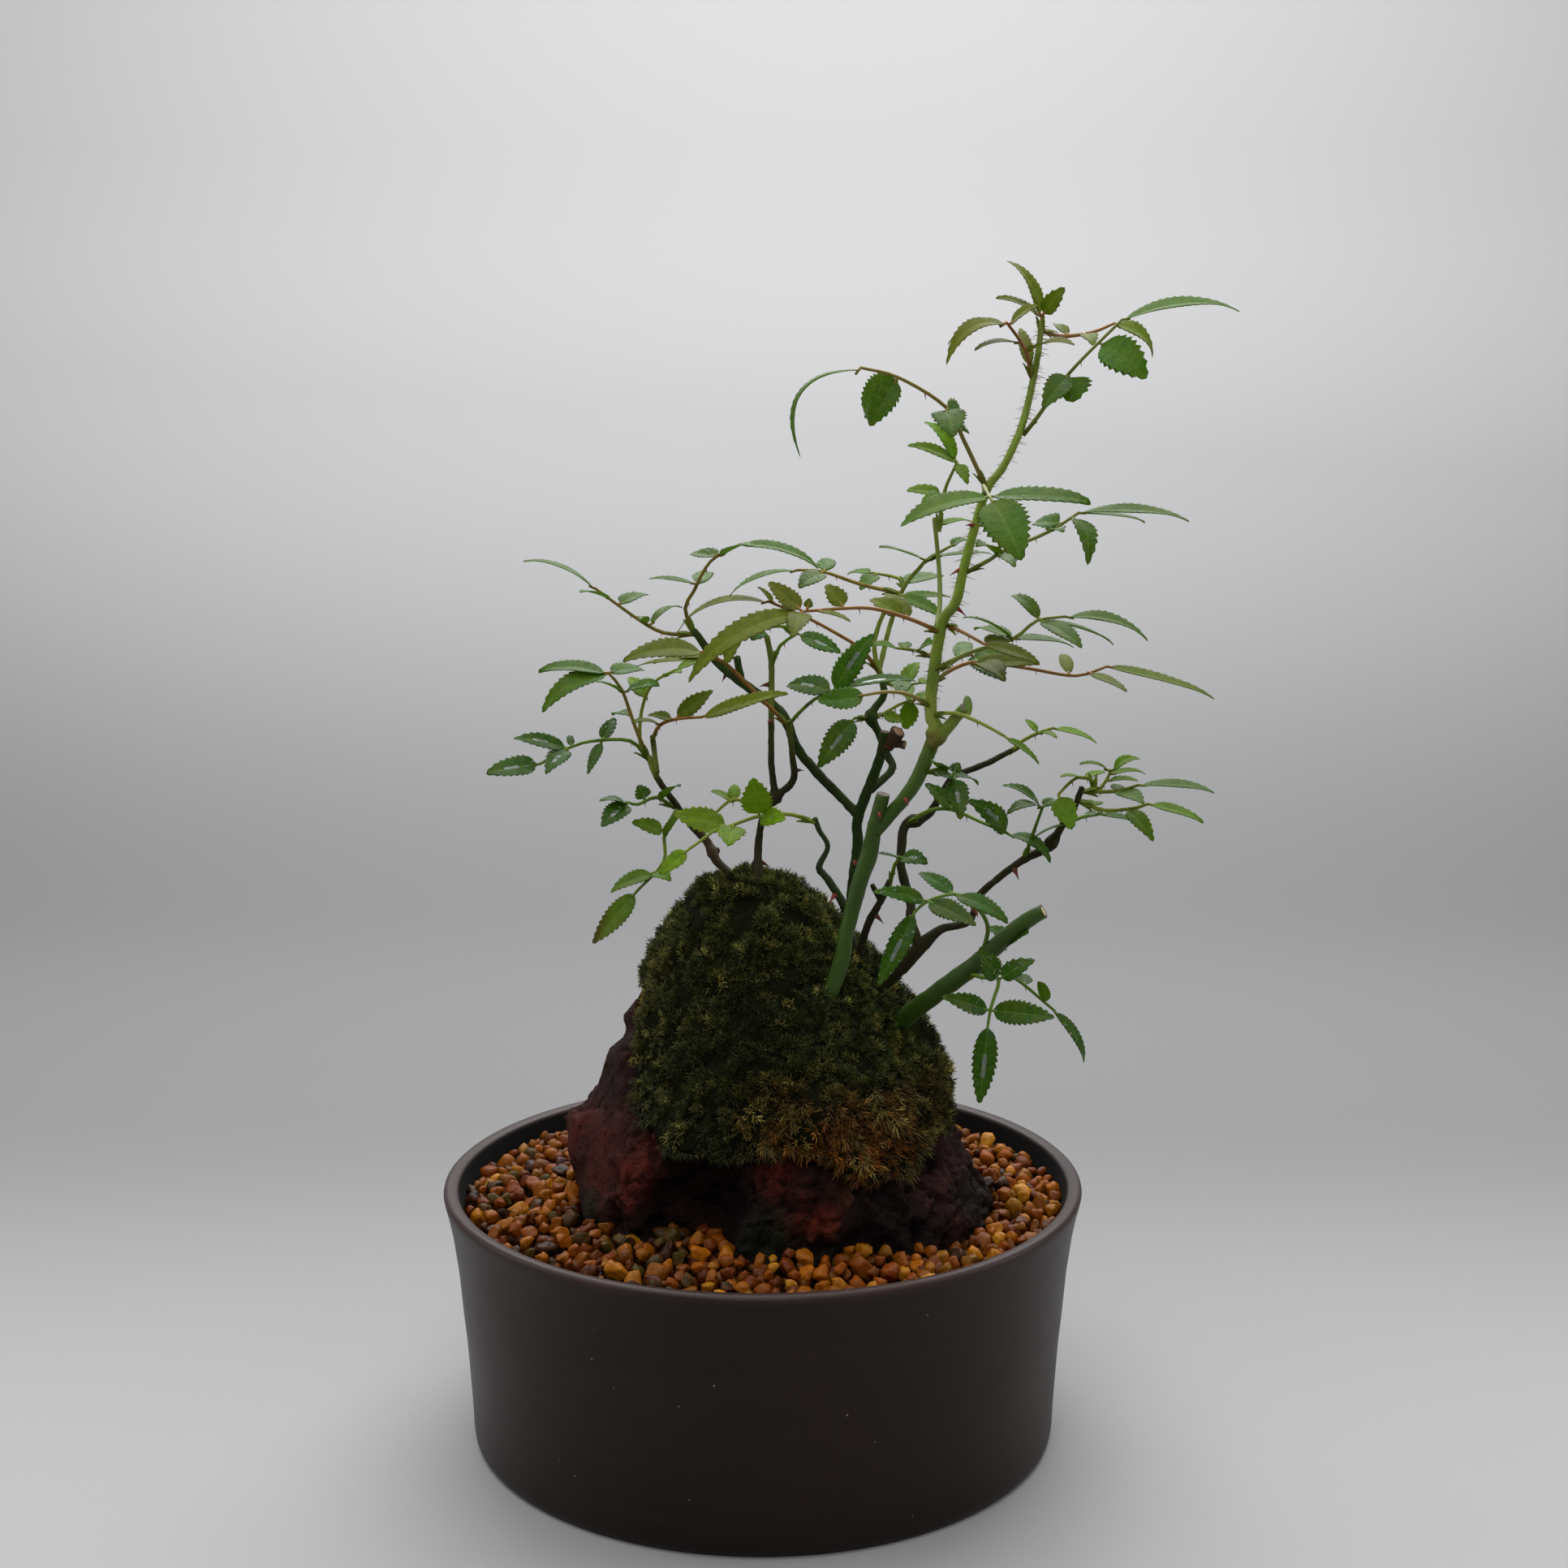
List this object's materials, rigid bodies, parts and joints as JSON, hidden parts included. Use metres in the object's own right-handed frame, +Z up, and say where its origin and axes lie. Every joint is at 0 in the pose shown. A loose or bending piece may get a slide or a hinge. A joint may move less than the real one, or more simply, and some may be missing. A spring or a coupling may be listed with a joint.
{
  "type": "bonsai rose in a pot",
  "caption": "Miniature rose bonsai: thin thorny stems with toothed leaflets, rooted on a mossy lava rock that stands in a round clay pot of clay gravel.",
  "frame": {"origin": "centre of the pot's flat underside", "axes": "+Z up, the front of the plant faces -Y, the pot's axis is Z"},
  "size_m": [0.1768, 0.1498, 0.271],
  "materials": {
    "pot_clay": "satin",
    "drain_net": "matte",
    "clay_grains": "matte",
    "lava_rock": "rough",
    "moss": "tufted",
    "rose_fresh": "satin",
    "rose_old": "satin"
  },
  "bodies": {
    "root": {"pot": "pot_clay", "drain_mesh": "drain_net", "gravel": "clay_grains", "rock": "lava_rock", "moss": "moss", "leafy_stem_leader": "rose_fresh", "leafy_stem_old_centre": "rose_old", "leafy_stem_left_centre": "rose_old", "leafy_stem_far_left": "rose_old", "leafy_twig_curly": "rose_fresh", "leafy_twig_short": "rose_old", "leafy_stem_right_fork": "rose_old", "leafy_cane_low": "rose_fresh"}
  },
  "joints": []
}
